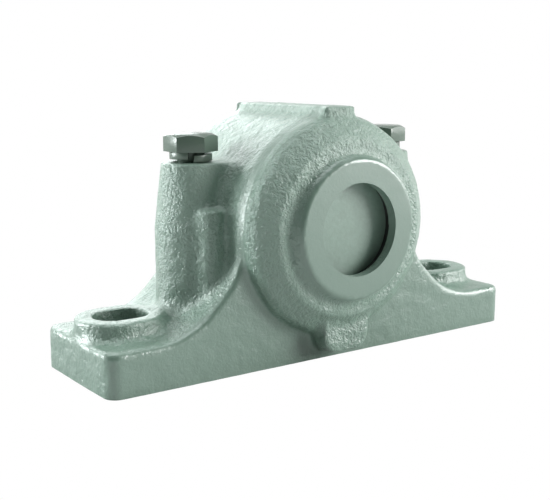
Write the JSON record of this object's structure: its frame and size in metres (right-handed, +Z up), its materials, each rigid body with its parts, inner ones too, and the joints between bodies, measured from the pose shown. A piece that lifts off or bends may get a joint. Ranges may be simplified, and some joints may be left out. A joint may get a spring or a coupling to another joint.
{
  "type": "split_plummer_block",
  "caption": "Split cast plummer block: slotted foot, bolted cap with crown pad, end cover in front, self-aligning ball bearing on an adapter sleeve and a split shaft seal behind.",
  "frame": {"origin": "middle of the underside of the foot, below the shaft axis", "axes": "+X along the foot, +Y along the shaft towards the open end with the shaft seal, +Z up"},
  "size_m": [0.185, 0.082, 0.0936],
  "materials": {
    "housing_paint": "grey-green gloss paint over a sand-cast surface",
    "bolt_steel": "dull steel with a thin coat of the housing's paint",
    "washer_steel": "dull spring steel",
    "pin_steel": "ground steel",
    "cover_paint": "smooth grey-green paint",
    "seal_rubber": "matt black nitrile rubber",
    "ring_steel": "turned steel, lightly oiled",
    "bearing_steel": "ground bearing steel",
    "ball_steel": "polished bearing steel",
    "cage_steel": "pressed sheet steel",
    "sleeve_steel": "turned steel",
    "lock_steel": "blackened steel"
  },
  "bodies": {
    "housing": {"base": "housing_paint", "cap": "housing_paint", "cap_bolt_left": "bolt_steel", "cap_bolt_right": "bolt_steel", "spring_washer_left": "washer_steel", "spring_washer_right": "washer_steel", "dowel_pin_front": "pin_steel", "dowel_pin_rear": "pin_steel", "end_cover": "cover_paint", "end_cover_ring": "seal_rubber", "shaft_seal_lower": "seal_rubber", "shaft_seal_upper": "seal_rubber", "locating_ring_front": "ring_steel", "locating_ring_rear": "ring_steel", "bearing_outer_ring": "bearing_steel"},
    "rotor": {"bearing_inner_ring": "bearing_steel", "adapter_sleeve": "sleeve_steel", "lock_washer": "lock_steel", "lock_nut": "lock_steel"},
    "cage": {"ball_cage": "cage_steel", "ball_row_front": "ball_steel", "ball_row_rear": "ball_steel"}
  },
  "joints": [
    {"name": "shaft_turn", "type": "hinge", "parent": "housing", "child": "rotor", "pos_m": [0, 0, 0.05], "axis": [0, 1, 0], "continuous": true},
    {"name": "cage_turn", "type": "hinge", "parent": "housing", "child": "cage", "pos_m": [0, 0, 0.05], "axis": [0, 1, 0], "continuous": true}
  ],
  "couplings": [
    {"joint": "cage_turn", "follows": "shaft_turn", "ratio": 0.4157}
  ]
}
